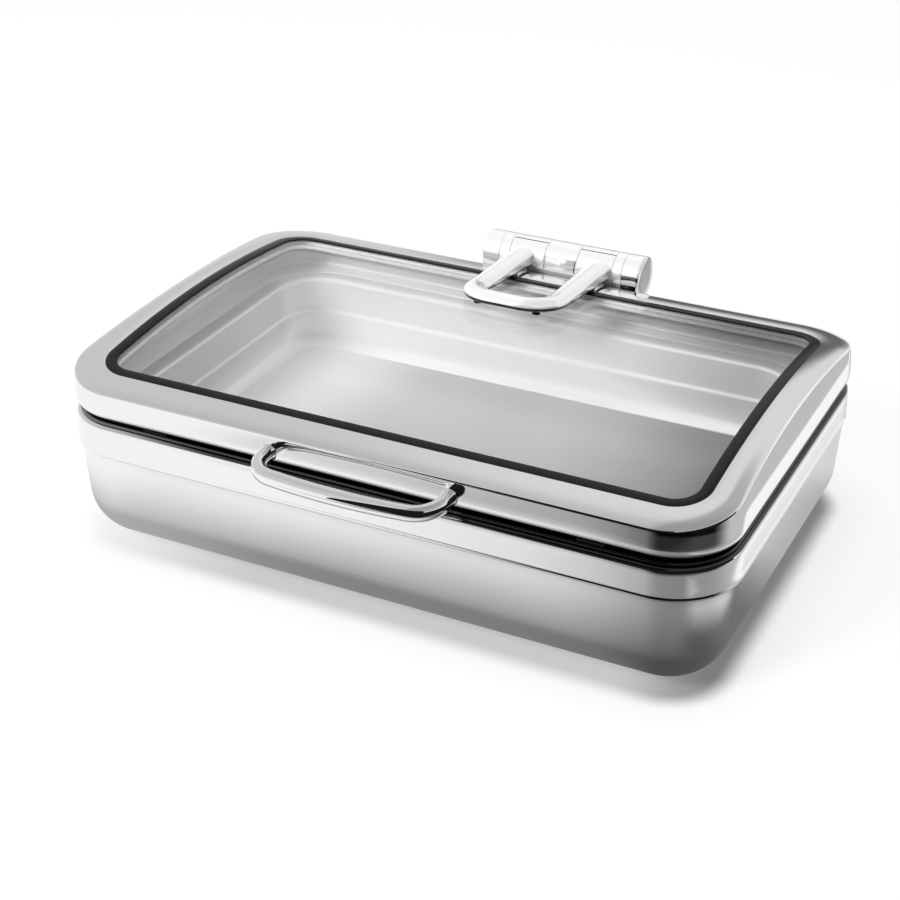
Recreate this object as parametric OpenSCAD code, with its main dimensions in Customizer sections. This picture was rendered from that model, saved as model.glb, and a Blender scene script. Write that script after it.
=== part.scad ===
// Rectangular chafing dish: a water base, a drop-in food pan and a glass lid on a damped barrel hinge.
// Millimetres. The origin is the centre of the base's underside: +X to the right, -Y to the front, +Z up.

/* [Base] */
// Width of the base at its shoulder
body_w = 582; // [570:1:620]
// Depth of the base at its shoulder
body_d = 380; // [370:1:410]
// Plan radius of the corners
body_r = 56; // [52:1:66]
// Height of the shoulder above the table
shoulder_z = 119; // [112:1:130]
// Height of the pressed line round the wall
step_z = 92; // [84:1:100]
// How far the wall steps in below that line
step_in = 1.5; // [0.8:0.1:2.5]
// Slope of the wall below the line, in degrees
draft = 4.5; // [3:0.5:6]
// Radius between the wall and the floor
foot_r = 42; // [34:1:46]
// Radius over the shoulder
shoulder_r = 4; // [3:0.5:6]
// Width of the shelf that turns in at the shoulder
shelf_w = 14; // [12:0.5:18]
// Thickness of the base's sheet
sheet = 1; // [0.8:0.1:1.4]
// Thickness of the heating plate under the floor
plate_t = 2.5; // [2:0.5:5]
// How far the heating plate stays inside the flat floor
plate_in = 8; // [4:1:20]

/* [Rim] */
// Height of the rim above the shoulder
rim_h = 2.8; // [2.7:0.1:4]
// How far the rim's neck stands in from the wall
neck_in = 8; // [7:0.5:10]
// How far the rolled edge stands in from the wall
roll_in = 4.5; // [3.5:0.5:6]
// Radius of the rolled edge
roll_r = 1.3; // [1:0.1:1.3]
// Width of the seat under the pan's flange
seat_w = 9; // [7:0.5:10]
// Depth of the lip below that seat
seat_lip = 6; // [4:0.5:10]
// Thickness of the two soft bumpers under the lid's front
bumper_t = 1.5; // [1.2:0.1:2.5]
// Length of a bumper
bumper_l = 22; // [14:1:30]
// Width of a bumper
bumper_w = 6; // [4:0.5:8]
// Distance of the bumpers from the base's sides
bumper_side = 101; // [90:1:130]

/* [Food pan] */
// Distance of the pan's flange from the base's sides
pan_side = 26; // [25:0.5:28]
// Distance of the pan's flange from the base's front and back
pan_front = 27.5; // [26:0.5:30]
// Corner radius of the flange
pan_r = 58; // [50:1:62]
// Depth of the pan
pan_depth = 65; // [55:1:75]
// Width of the flange
pan_flange = 15; // [13:0.5:15.5]
// Radius where the flange turns into the wall
pan_lip_r = 4; // [3:0.5:5]
// Slope of the pan's walls, in degrees
pan_draft = 3; // [1:0.5:4]
// How far the stacking shoulder lies below the flange
pan_step_drop = 30; // [22:1:38]
// Width of the stacking shoulder
pan_step = 3; // [2:0.5:4]
// Radius round the pan's floor
pan_floor_r = 15; // [10:1:16]
// Thickness of the pan's sheet
pan_sheet = 0.8; // [0.6:0.1:1.2]
// Height of the flange's turned edge
pan_edge = 3.2; // [3:0.1:4]
// How far the flange lies below the rim
pan_sink = 0.5; // [0.3:0.1:1]
// Clearance round the flange
pan_clear = 1; // [0.6:0.1:1.5]

/* [Lid] */
// Height of the lid from its lower edge to its crown
lid_rise = 44.2; // [43:0.2:47]
// How far the lid's arch falls from its crown to the front
arch_fall = 17.5; // [16:0.1:18]
// Radius of the lid's sides above their widest point
bulge_r = 38; // [36:1:44]
// Height of the widest point above the lid's lower edge
bulge_h = 22.7; // [21:0.1:24]
// Radius of the lid's sides below the widest point
skirt_r = 70; // [60:1:90]
// Thickness of the lid's sheet
lid_sheet = 1.2; // [1:0.1:1.8]
// Width of the flange turned in at the lower edge
lid_lip = 10; // [8:0.5:12]
// Width of the lid's frame beside the window
frame_side = 26; // [25:0.5:28]
// Width of the lid's frame before and behind the window
frame_front = 27; // [25:0.5:30]
// Corner radius of the window
window_r = 30; // [24:1:36]
// Width of the black seal as seen from above
band = 10; // [8:0.5:12]
// Thickness of the seal's lips
band_lip = 1.5; // [1:0.1:2]
// How far the glass edge lies inside the window
glass_in = 4; // [3:0.5:5]
// Thickness of the glass
glass_t = 5; // [4:0.5:6]
// Thickness of the ring that holds the glass from below
retainer_t = 1.5; // [1:0.1:2]
// How far that ring reaches past the window
retainer_out = 12; // [11:0.5:13]
// How far the ring's bosses stand outside the window
boss_out = 7.5; // [7:0.5:8]
// Radius of the bosses
boss_r = 3.5; // [3.2:0.1:4]
// Gap between pieces that meet round a corner
fit_gap = 0.1; // [0.05:0.05:0.2]

/* [Front handle] */
// Distance between the handle's ends
handle_w = 161; // [140:1:180]
// Reach of the handle from the lid
handle_out = 34; // [32:1:42]
// Diameter of the handle's bar
handle_d = 13; // [11:0.5:15]
// Bend radius of the handle
handle_bend = 22; // [18:1:24]
// Half angle of the bow in the bar, in degrees
handle_bow = 6.5; // [4:0.5:8]
// Droop of the handle, in degrees
handle_tilt = 4; // [0:1:12]
// Height of the handle's ends above the lid's lower edge
handle_h = 11.7; // [11:0.1:13]

/* [Hinge] */
// Diameter of the hinge barrel
barrel_d = 40; // [38:0.5:44]
// Gap between the barrel and the back of the lid
barrel_gap = 4; // [4:0.5:8]
// How far the hinge axis lies below the crown
hinge_drop = 14; // [12:0.5:16]
// Diameter of the hinge shaft
shaft_d = 12; // [10:0.5:12]
// Length of the middle knuckle
centre_l = 31.6; // [28:0.2:36]
// Length of each turning collar
collar_l = 35; // [32:0.5:40]
// Length of each outer knuckle
outer_l = 9.5; // [9:0.5:14]
// Length of each end cap
cap_l = 17; // [16.5:0.5:24]
// Gap between the ends of turning and fixed pieces
end_gap = 0.3; // [0.2:0.05:0.5]
// Running clearance of the bushes on the shaft
run_gap = 0.05; // [0.02:0.01:0.08]
// Clearance round the damper's rotor
rotor_gap = 0.4; // [0.3:0.05:0.6]
// Width of the plain pad on the middle knuckle
pad_w = 29; // [20:1:31]
// Height of that pad
pad_h = 16; // [12:1:18]

/* [Hinge loop] */
// Width over the loop's legs
loop_w = 97; // [90:1:102]
// Width of a leg
leg_w = 20.5; // [18:0.5:22]
// Thickness of a leg
leg_t = 10; // [8:0.5:12]
// Reach of the loop over the lid from its back edge
loop_reach = 123; // [100:1:123]
// Outer corner radius of the loop
loop_r = 34; // [30:1:38]
// Radius over the top of a leg
crown_r = 14; // [11:0.5:20]
// Clearance under the loop at its middle
loop_hover = 1.5; // [1:0.1:3]

/* [Bracket] */
// How far the bracket stays inside the barrel's ends
bracket_in = 7.9; // [4:0.1:12]
// Thickness of the bracket
bracket_t = 4; // [3:0.5:5]
// Thickness of the seal behind the bracket
seal_t = 2.5; // [2:0.1:3.5]
// Clearance between the barrel and the bracket's shelf
shelf_gap = 1.2; // [0.8:0.1:2]
// How far the shelf reaches behind the hinge axis
shelf_back = 18; // [16:1:24]
// Height of the bracket's foot
bracket_foot = 18; // [16:0.5:19]
// Diameter of the bracket's screws
bolt_d = 5; // [4:0.5:5]

/* [Hidden] */
$fn = 64;
arch_fn = 720;

eps = 0.01;
over = 1;
arc_steps = 8;

// Base
hx = body_w / 2;
hy = body_d / 2;
wall_out = [cos(draft), -sin(draft)];
wall_top = [body_r - step_in, step_z - step_in];
foot_z = plate_t + foot_r;
foot_x = (wall_top * wall_out - foot_r + foot_z * sin(draft)) / cos(draft);
rim_top = shoulder_z + rim_h;

// Food pan
pan_w = body_w - 2 * pan_side;
pan_d = body_d - 2 * pan_front;
pan_top = rim_top - pan_sink;
seat_z = pan_top - pan_edge;
pan_floor = pan_top - pan_depth;
px = pan_w / 2;
py = pan_d / 2;
edge_r = 1.6;
pan_wall = [cos(pan_draft), -sin(pan_draft)];
pan_lip = [pan_r - pan_flange + pan_lip_r, pan_top - pan_lip_r];
pan_high = [pan_lip.x - pan_lip_r * cos(pan_draft), pan_lip.y + pan_lip_r * sin(pan_draft)];
pan_step_z = pan_top - pan_step_drop;
pan_step_x = pan_high.x - (pan_high.y - pan_step_z) * tan(pan_draft);
pan_low = [pan_step_x - pan_step, pan_step_z - pan_step];
pan_floor_z = pan_floor + pan_floor_r;
pan_floor_x = (pan_low * pan_wall - pan_floor_r + pan_floor_z * sin(pan_draft)) / cos(pan_draft);

// Lid
lid_z = rim_top + bumper_t;
crown_z = lid_z + lid_rise;
arch_r = (hy * hy + arch_fall * arch_fall) / (2 * arch_fall);
arch_z = crown_z - arch_r;
bulge_z = lid_z + bulge_h;
lid_top = crown_z + over;
lid_foot_in = skirt_r - sqrt(skirt_r * skirt_r - bulge_h * bulge_h);
window_w = body_w - 2 * frame_side;
window_d = body_d - 2 * frame_front;
wx = window_w / 2;
wy = window_d / 2;
gasket_t = glass_t + 2 * band_lip;
boss_x = wx + boss_out;
boss_y = wy + boss_out;
boss_step_x = window_w / 7.6;
boss_step_y = window_d / 3.6;
boss_spots = [
    for (sy = [-1, 1], x = [-3, -1, 1, 3]) [x * boss_step_x, sy * boss_y],
    for (sx = [-1, 1], y = [-1, 0, 1]) [sx * boss_x, y * boss_step_y]
];
ring_screw_d = 4;
ring_screw_l = 5;
ring_head_d = 6.5;
ring_head_t = 2;

// Front handle
handle_x = handle_w / 2;
handle_r = handle_d / 2;
bow_x = handle_x - handle_bend * (1 - sin(handle_bow));
bow_r = bow_x / sin(handle_bow);
bow_rise = bow_r * (1 - cos(handle_bow));
handle_leg = handle_out - bow_rise - handle_bend * cos(handle_bow);
handle_screw_d = 6;
bar_sides = 24;
handle_bore = 12;
washer_r = 5.5;
washer_t = 3;
handle_head_d = 9;
handle_head_t = 3.5;

// Hinge
barrel_r = barrel_d / 2;
shaft_r = shaft_d / 2;
axis_y = hy + barrel_gap + barrel_r;
axis_z = crown_z - hinge_drop;
collar_x = centre_l / 2 + end_gap;
outer_x = collar_x + collar_l + end_gap;
cap_x = outer_x + outer_l;
barrel_end = cap_x + cap_l;
bush_r = shaft_r + 2.5;
sleeve_r = shaft_r + 4;
socket_l = 8;
cap_wall = 3.5;
cap_end = 7;
chamber_r = barrel_r - cap_wall;
chamber_l = cap_l - cap_end;
hub_r = sleeve_r + 1;
vane_half = 12;
rib_half = 15;
vane_rest = 135;
shaft_end = barrel_end - 2;
grub_x = cap_x + chamber_l + cap_end / 2;
grub_d = 3.8;
pad_out = 0.4;
pad_low = 10;

// Hinge loop
loop_front = hy - loop_reach;
loop_mid = (loop_front + hy) / 2;
loop_a = asin(loop_mid / arch_r);
loop_axis_y = axis_y * cos(loop_a) - (axis_z - arch_z) * sin(loop_a);
loop_axis_z = axis_y * sin(loop_a) + (axis_z - arch_z) * cos(loop_a) - arch_r;
loop_y0 = (loop_front - loop_mid) / cos(loop_a);
leg_x = loop_w / 2 - leg_w / 2;
fairing_l = 4.5 * barrel_r;
fairing_y = loop_axis_y - fairing_l;
seat_y = (wy + hy) / 2;
seat_l = 20;
loop_bolt_y = wy + retainer_out + 5;
loop_bolt_d = 4;
loop_bolt_gap = 10;
glass_pad_r = 3.5;
glass_pad_in = 13;

// Bracket
bracket_w = 2 * (barrel_end - bracket_in);
bracket_y = hy + seal_t;
bracket_top = axis_z - barrel_r - shelf_gap;
foot_top = shoulder_z - shoulder_r - over;
foot_mid = foot_top - bracket_foot / 2;
foot_low = foot_top - bracket_foot;
bolt_r = bolt_d / 2;
bolt_gap = 0.25;
bolt_outer = 0.4 * bracket_w;
bolt_inner = 0.17 * bracket_w;
bolt_spots = [-bolt_outer, -bolt_inner, bolt_inner, bolt_outer];
backing_t = 3;
seal_in = 2;
bolt_head_r = 4.5;
bolt_head_t = 3;
gusset_t = 4;
saddle_w = 28;
saddle_up = 8;
knuckle_bolts = [-outer_x - outer_l / 2, -centre_l / 4, centre_l / 4, outer_x + outer_l / 2];
knuckle_bolt_l = 6;

// A step of one in a direction
function turn_to(a) = [cos(a), sin(a)];
// Points along an arc
function arc(c, r, from, to) =
    [for (i = [0:arc_steps]) let (a = from + (to - from) * i / arc_steps) c + r * turn_to(a)];
// A list of points, last one first
function turned(points) = [for (i = [len(points) - 1:-1:0]) points[i]];

// One skin of the base's wall, t inside the outer face
function base_skin(t) = concat(
    [[0, plate_t + t]],
    arc([foot_x, foot_z], foot_r - t, -90, -draft),
    [wall_top - t * wall_out, [body_r - t, step_z]],
    arc([body_r - shoulder_r, shoulder_z - shoulder_r], shoulder_r - t, 0, 90),
    [[body_r - shelf_w, shoulder_z - t]]
);

// One skin of the food pan, t below its inner face
function pan_skin(t) = concat(
    [[0, pan_floor - t]],
    arc([pan_floor_x, pan_floor_z], pan_floor_r + t, -90, -pan_draft),
    [pan_low + t * pan_wall, [pan_step_x, pan_step_z] + t * pan_wall],
    arc(pan_lip, pan_lip_r - t, 180 - pan_draft, 90),
    arc([pan_r - edge_r, pan_top - edge_r], edge_r - t, 90, 0),
    [[pan_r - t, seat_z]]
);

// The bulged side of the lid, t inside the outer face: a flat arc to its widest point, a rounder one above
function lid_side(t, low, high) =
    concat(
        arc([body_r - skirt_r, bulge_z], skirt_r - t, asin((low - bulge_z) / (skirt_r - t)), 0),
        [for (i = [1:arc_steps])
            [body_r - bulge_r, bulge_z] + (bulge_r - t) * turn_to(i / arc_steps * side_end(t, high))]
    );
function side_end(t, high) = asin((high - bulge_z) / (bulge_r - t));

// Rounded rectangle
module plan(x, y, r) {
    square([2 * (x - r), 2 * y], center = true);
    square([2 * x, 2 * (y - r)], center = true);
    for (sx = [-1, 1], sy = [-1, 1]) translate([sx * (x - r), sy * (y - r)]) circle(r);
}

module slab(x, y, r, low, high) {
    translate([0, 0, low]) linear_extrude(high - low) plan(x, y, r);
}

// Rounded rectangular ring, wall w inside its outer face
module hoop(x, y, r, w, low, high) {
    translate([0, 0, low]) linear_extrude(high - low) difference() {
        plan(x, y, r);
        plan(x - w, y - w, r - w);
    }
}

// Carries a profile round a rounded rectangle: its X runs outward from the corner's centre, its Y is up
module sweep(x, y, r) {
    for (i = [0:3]) {
        along = i % 2 == 0 ? x : y;
        across = i % 2 == 0 ? y : x;
        rotate([0, 0, 90 * i]) translate([along - r, across - r, 0]) {
            rotate_extrude(angle = 90) children();
            rotate([90, 0, 0]) linear_extrude(2 * (across - r)) children();
        }
    }
}

module middle(x, y, r, low, high) {
    translate([r - x, r - y, low]) cube([2 * (x - r), 2 * (y - r), high - low]);
}

// Everything under the lid's arch, t below its outer face
module under_arch(t) {
    translate([0, 0, arch_z]) rotate([0, 90, 0])
        cylinder(h = body_w + 2 * over, r = arch_r - t, center = true, $fn = arch_fn);
}

// A slice of the arch between two depths
module arch_slice(top, bottom) {
    difference() {
        under_arch(top);
        under_arch(bottom);
    }
}

// Stands its children on the arch, square to it
module on_arch(x, y) {
    translate([x, 0, arch_z]) rotate([-asin(y / arch_r), 0, 0]) translate([0, 0, arch_r]) children();
}

// The lid as a solid, t inside its outer faces
module lid_block(t) {
    intersection() {
        union() {
            sweep(hx, hy, body_r)
                polygon(concat([[0, lid_z + t]], lid_side(t, lid_z + t, lid_top), [[0, lid_top]]));
            middle(hx, hy, body_r, lid_z + t, lid_top);
        }
        under_arch(t);
    }
}

// A cylinder along the hinge axis
module barrel(from, to, r) {
    translate([from, axis_y, axis_z]) rotate([0, 90, 0]) cylinder(h = to - from, r = r);
}

// A wedge of a disc about the hinge axis, as seen from the right
module wedge(from, to, r, middle_a, half_a) {
    translate([from, axis_y, axis_z]) rotate([90, 0, 90]) linear_extrude(to - from)
        polygon(concat([[0, 0]], [for (i = [-1:0.5:1]) r * turn_to(middle_a + i * half_a)]));
}

// Puts its children on both sides of the middle
module both_sides() {
    children();
    mirror([1, 0, 0]) children();
}

module base_shell() {
    color("gainsboro") difference() {
        union() {
            sweep(hx, hy, body_r) polygon(concat(base_skin(0), turned(base_skin(sheet))));
            middle(hx, hy, body_r, plate_t, plate_t + sheet);
        }
        bracket_holes(bolt_r + bolt_gap);
    }
}

module induction_plate() {
    edge = body_r - foot_x + plate_in;
    color("dimgray") slab(hx - edge, hy - edge, body_r / 2, 0, plate_t);
}

module rim_frame() {
    color("lightgray") {
        sweep(hx, hy, body_r) {
            translate([body_r - neck_in - sheet, shoulder_z]) square([sheet, rim_h - sheet / 2]);
            translate([body_r - roll_in, rim_top - roll_r]) circle(roll_r);
        }
        difference() {
            slab(hx - roll_in, hy - roll_in, body_r - roll_in, rim_top - sheet, rim_top);
            pan_well();
        }
        hoop(px + pan_clear + sheet, py + pan_clear + sheet, pan_r + pan_clear + sheet, sheet,
            seat_z - sheet, rim_top);
        hoop(px + pan_clear + eps, py + pan_clear + eps, pan_r + pan_clear, pan_clear + seat_w,
            seat_z - sheet, seat_z);
        hoop(px - seat_w + sheet, py - seat_w + sheet, pan_r - seat_w + sheet, sheet,
            seat_z - seat_lip, seat_z - eps);
    }
}

// The space that the pan's flange drops into
module pan_well() {
    slab(px + pan_clear, py + pan_clear, pan_r + pan_clear, seat_z, rim_top + over);
}

module lid_bumpers() {
    bumper_x = hx - bumper_side;
    bumper_y = hy - lid_foot_in - lid_lip / 2;
    color("black") both_sides() translate([bumper_x - bumper_l / 2, -bumper_y - bumper_w / 2, rim_top])
        cube([bumper_l, bumper_w, bumper_t]);
}

module food_pan() {
    color("silver") {
        sweep(px, py, pan_r) polygon(concat(pan_skin(0), turned(pan_skin(pan_sheet))));
        middle(px, py, pan_r, pan_floor - pan_sheet, pan_floor);
    }
}

// Holes for the bracket's screws, through the back wall
module bracket_holes(r) {
    for (x = bolt_spots)
        translate([x, hy - sheet - backing_t - over, foot_mid]) rotate([-90, 0, 0])
            cylinder(h = sheet + backing_t + seal_t + bracket_t + 2 * over, r = r);
}

module bracket_seal() {
    color("black") difference() {
        translate([seal_in - bracket_w / 2, hy, foot_low + seal_in])
            cube([bracket_w - 2 * seal_in, seal_t, bracket_foot - 2 * seal_in]);
        bracket_holes(bolt_r + bolt_gap);
    }
}

module bracket_backing() {
    color("silver") difference() {
        translate([seal_in - bracket_w / 2, hy - sheet - backing_t, foot_low + seal_in])
            cube([bracket_w - 2 * seal_in, backing_t, bracket_foot - 2 * seal_in]);
        bracket_holes(bolt_r);
    }
}

module bracket_screws() {
    color("silver") for (x = bolt_spots)
        translate([x, bracket_y + bracket_t, foot_mid]) rotate([90, 0, 0]) {
        cylinder(h = bracket_t + seal_t + sheet + backing_t, r = bolt_r);
        mirror([0, 0, 1]) cylinder(h = bolt_head_t, r = bolt_head_r);
    }
}

module hinge_bracket() {
    shelf_end = axis_y + shelf_back;
    side = [
        [bracket_y, foot_low],
        [bracket_y + bracket_t, foot_low],
        [bracket_y + bracket_t, bracket_top - bracket_t],
        [shelf_end, bracket_top - bracket_t],
        [shelf_end, bracket_top],
        [bracket_y, bracket_top]
    ];
    gusset = [
        [bracket_y + bracket_t - eps, foot_top],
        [shelf_end - bracket_t, bracket_top - bracket_t + eps],
        [bracket_y + bracket_t - eps, bracket_top - bracket_t + eps]
    ];
    color("silver") difference() {
        union() {
            translate([-bracket_w / 2, 0, 0]) rotate([90, 0, 90]) linear_extrude(bracket_w) polygon(side);
            both_sides() translate([bracket_w / 4, 0, 0]) rotate([90, 0, 90])
                linear_extrude(gusset_t) polygon(gusset);
        }
        bracket_holes(bolt_r + bolt_gap);
        for (x = knuckle_bolts) translate([x, axis_y, bracket_top - bracket_t - over])
            cylinder(h = bracket_t + 2 * over, r = bolt_r + bolt_gap);
    }
}

// A fixed knuckle with its foot on the shelf
module knuckle(from, to, bore) {
    difference() {
        union() {
            barrel(from, to, barrel_r);
            translate([from, axis_y - saddle_w / 2, bracket_top])
                cube([to - from, saddle_w, axis_z - bracket_top - saddle_up]);
        }
        barrel(from - over, to + over, bore);
        for (x = knuckle_bolts) translate([x, axis_y, bracket_top - over])
            cylinder(h = knuckle_bolt_l + 2 * over, r = bolt_r);
    }
}

module hinge_centre_knuckle() {
    color("white") union() {
        knuckle(-centre_l / 2, centre_l / 2, shaft_r);
        difference() {
            translate([-pad_w / 2, axis_y - barrel_r - pad_out, axis_z - pad_low])
                cube([pad_w, barrel_r / 2, pad_h]);
            barrel(-centre_l, centre_l, barrel_r - over);
        }
    }
}

module outer_knuckle() {
    knuckle(outer_x, cap_x, sleeve_r + rotor_gap);
}

module hinge_knuckle_left() {
    color("white") mirror([1, 0, 0]) outer_knuckle();
}

module hinge_knuckle_right() {
    color("white") outer_knuckle();
}

module knuckle_screws() {
    color("silver") for (x = knuckle_bolts) translate([x, axis_y, bracket_top - bracket_t]) {
        cylinder(h = bracket_t + knuckle_bolt_l, r = bolt_r);
        mirror([0, 0, 1]) cylinder(h = bolt_head_t, r = bolt_head_r);
    }
}

module hinge_shaft() {
    color("silver") barrel(-shaft_end, shaft_end, shaft_r);
}

// Closed cap on the barrel's end, with the two ribs of the damper's chamber
module end_cap() {
    inner = cap_x + chamber_l;
    difference() {
        barrel(cap_x, barrel_end, barrel_r);
        difference() {
            barrel(cap_x - over, inner, chamber_r);
            difference() {
                for (a = [0, 180]) wedge(cap_x, inner + over, barrel_r, a, rib_half);
                barrel(cap_x - over, inner + 2 * over, hub_r + rotor_gap);
            }
        }
        barrel(cap_x, shaft_end, shaft_r);
        translate([grub_x, axis_y, axis_z - barrel_r - over]) cylinder(h = barrel_r, d = grub_d);
    }
}

module end_cap_left() {
    color("white") mirror([1, 0, 0]) end_cap();
}

module end_cap_right() {
    color("white") end_cap();
}

module cap_grub_screws() {
    color("silver") both_sides() translate([grub_x, axis_y, axis_z - barrel_r + over])
        cylinder(h = barrel_r - shaft_r - over, d = grub_d);
}

module lid_frame() {
    lip = lid_foot_in + lid_lip;
    color("gainsboro") difference() {
        union() {
            difference() {
                lid_block(0);
                lid_block(lid_sheet);
                slab(hx - lip, hy - lip, body_r - lip, lid_z - over, lid_z + 2 * lid_sheet);
                slab(wx, wy, window_r, lid_z, lid_top + over);
            }
            for (p = boss_spots) on_arch(p.x, p.y)
                translate([0, 0, -gasket_t]) cylinder(h = gasket_t - lid_sheet + eps, r = boss_r);
        }
        for (p = boss_spots) on_arch(p.x, p.y)
            translate([0, 0, -gasket_t - over]) cylinder(h = ring_screw_l + over, d = ring_screw_d);
        loop_holes(loop_bolt_d / 2 + bolt_gap);
        handle_frame() both_sides() translate([handle_x, handle_bore, 0]) rotate([90, 0, 0])
            cylinder(h = 2 * handle_bore, d = handle_screw_d + 2 * bolt_gap);
    }
}

module lid_glass() {
    color([0.8, 0.85, 0.85, 0.4]) intersection() {
        arch_slice(band_lip, band_lip + glass_t);
        slab(wx - glass_in, wy - glass_in, window_r - glass_in, lid_z, lid_top);
    }
}

module glass_gasket() {
    color("black") difference() {
        intersection() {
            arch_slice(0, gasket_t);
            hoop(wx - fit_gap, wy - fit_gap, window_r - fit_gap, band - fit_gap, lid_z, lid_top);
        }
        intersection() {
            arch_slice(band_lip, band_lip + glass_t);
            slab(wx - glass_in, wy - glass_in, window_r - glass_in, lid_z, lid_top);
        }
    }
}

module glass_retainer() {
    ring = retainer_out + band;
    color("silver") difference() {
        intersection() {
            arch_slice(gasket_t, gasket_t + retainer_t);
            hoop(wx + retainer_out, wy + retainer_out, window_r + retainer_out, ring, lid_z, lid_top);
        }
        for (p = boss_spots) on_arch(p.x, p.y) translate([0, 0, -gasket_t - retainer_t - over])
            cylinder(h = retainer_t + 2 * over, d = ring_screw_d + 2 * bolt_gap);
    }
}

module retainer_screws() {
    color("silver") for (p = boss_spots) on_arch(p.x, p.y) translate([0, 0, -gasket_t - retainer_t]) {
        cylinder(h = retainer_t + ring_screw_l, d = ring_screw_d);
        mirror([0, 0, 1]) cylinder(h = ring_head_t, d = ring_head_d);
    }
}

// The handle's own plane: its Y runs back into the lid, its Z is square to the bow
module handle_frame() {
    translate([0, -hy, lid_z + handle_h]) rotate([handle_tilt, 0, 0]) children();
}

// The lower front of the lid as a full cylinder, t inside its outer face
module front_skirt(t) {
    translate([0, skirt_r - hy, bulge_z]) rotate([0, 90, 0])
        cylinder(h = body_w, r = skirt_r - t, center = true, $fn = arch_fn);
}

// Middle points of the handle's bar from the left end to the right, each with the bend's outward angle
function handle_spine() = concat(
    [[[-handle_x, handle_bore], 180]],
    [for (a = bend_angles(180, 270 - handle_bow))
        [[handle_bend - handle_x, -handle_leg] + handle_bend * turn_to(a), a]],
    [for (a = bow_angles()) [[0, bow_r - handle_out] + bow_r * turn_to(a), a]],
    [for (a = bend_angles(270 + handle_bow, 360))
        [[handle_x - handle_bend, -handle_leg] + handle_bend * turn_to(a), a]],
    [[[handle_x, handle_bore], 360]]
);
function bend_angles(from, to) = [for (i = [0:arc_steps]) from + (to - from) * i / arc_steps];
function bow_angles() = [for (i = [1:arc_steps - 1]) 270 + handle_bow * (2 * i / arc_steps - 1)];

// A round bar along a flat spine
module bar(spine, r, sides) {
    last = len(spine) - 1;
    points = [
        for (s = spine, j = [0:sides - 1])
            let (t = 360 * j / sides, out = s[0] + r * cos(t) * turn_to(s[1]))
            [out.x, out.y, r * sin(t)]
    ];
    walls = [
        for (i = [0:last - 1], j = [0:sides - 1])
            let (a = i * sides + j, b = i * sides + (j + 1) % sides)
                each [[a, b, b + sides], [a, b + sides, a + sides]]
    ];
    first_end = [for (j = [1:sides - 2]) [0, j + 1, j]];
    last_end = [for (j = [1:sides - 2]) last * sides * [1, 1, 1] + [0, j, j + 1]];
    polyhedron(points, concat(walls, first_end, last_end));
}

module front_handle() {
    color("white") difference() {
        handle_frame() bar(handle_spine(), handle_r, bar_sides);
        front_skirt(0);
        handle_frame() both_sides() translate([handle_x, handle_bore, 0]) rotate([90, 0, 0])
            cylinder(h = 2 * handle_bore, d = handle_screw_d);
    }
}

module handle_washers() {
    color("silver") difference() {
        intersection() {
            handle_frame() both_sides() translate([handle_x, lid_sheet + washer_t, 0]) rotate([90, 0, 0])
                cylinder(h = 2 * washer_t, r = washer_r);
            front_skirt(lid_sheet + fit_gap);
        }
        handle_frame() both_sides() translate([handle_x, handle_bore, 0]) rotate([90, 0, 0])
            cylinder(h = 2 * handle_bore, d = handle_screw_d + 2 * bolt_gap);
    }
}

module handle_screws() {
    color("silver") handle_frame() both_sides()
        translate([handle_x, lid_sheet + washer_t, 0]) rotate([90, 0, 0]) {
        cylinder(h = lid_sheet + washer_t + handle_bore - over, d = handle_screw_d);
        mirror([0, 0, 1]) cylinder(h = handle_head_t, d = handle_head_d);
    }
}

// Section of the loop's bar: flat below, domed above
module leg_section() {
    intersection() {
        translate([-leg_w / 2, 0]) square([leg_w, leg_t]);
        translate([0, leg_t - crown_r]) circle(crown_r);
    }
}

// The loop's own plane, just clear of the arch under its middle
module loop_frame() {
    on_arch(0, loop_mid) translate([0, 0, loop_hover]) children();
}

module loop_bow() {
    bend = loop_r - leg_w / 2;
    leg_from = loop_y0 + loop_r;
    fairing = [
        [fairing_y, 0],
        [loop_axis_y, 0],
        [loop_axis_y, loop_axis_z - loop_hover + barrel_r],
        [fairing_y, leg_t / 2]
    ];
    loop_frame() {
        both_sides() {
            translate([leg_x, loop_axis_y, 0]) rotate([90, 0, 0])
                linear_extrude(loop_axis_y - leg_from) leg_section();
            translate([leg_x - bend, leg_from, 0]) rotate([0, 0, -90])
                rotate_extrude(angle = 90) translate([bend, 0]) leg_section();
            translate([leg_x - leg_w / 2, 0, 0]) rotate([90, 0, 90]) linear_extrude(leg_w) polygon(fairing);
        }
        translate([bend - leg_x, loop_y0 + leg_w / 2, 0]) rotate([90, 0, 90])
            linear_extrude(2 * (leg_x - bend)) leg_section();
    }
}

// Holes for the screws that hold the loop to the lid
module loop_holes(r) {
    both_sides() for (side = [-1, 1]) on_arch(leg_x + side * loop_bolt_gap / 2, loop_bolt_y)
        translate([0, 0, -lid_sheet - over]) cylinder(h = lid_sheet + leg_t + over, r = r);
}

module hinge_loop() {
    color("white") difference() {
        union() {
            both_sides() barrel(collar_x, collar_x + collar_l, barrel_r);
            loop_bow();
        }
        both_sides() {
            barrel(collar_x - over, collar_x + collar_l + over, bush_r);
            barrel(collar_x + collar_l - socket_l, collar_x + collar_l + over, sleeve_r);
        }
        loop_holes(loop_bolt_d / 2);
    }
}

// Everything under the loop's lower face
module under_loop() {
    loop_frame() translate([-loop_w, -body_d, -body_d]) cube([2 * loop_w, 2 * body_d, body_d]);
}

module loop_seat_pads() {
    pad = leg_w - 2 * over;
    color("white") difference() {
        intersection() {
            both_sides() on_arch(leg_x, seat_y)
                translate([-pad / 2, -seat_l / 2, 0]) cube([pad, seat_l, leg_t]);
            under_loop();
        }
        loop_holes(loop_bolt_d / 2 + bolt_gap);
    }
}

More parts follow.
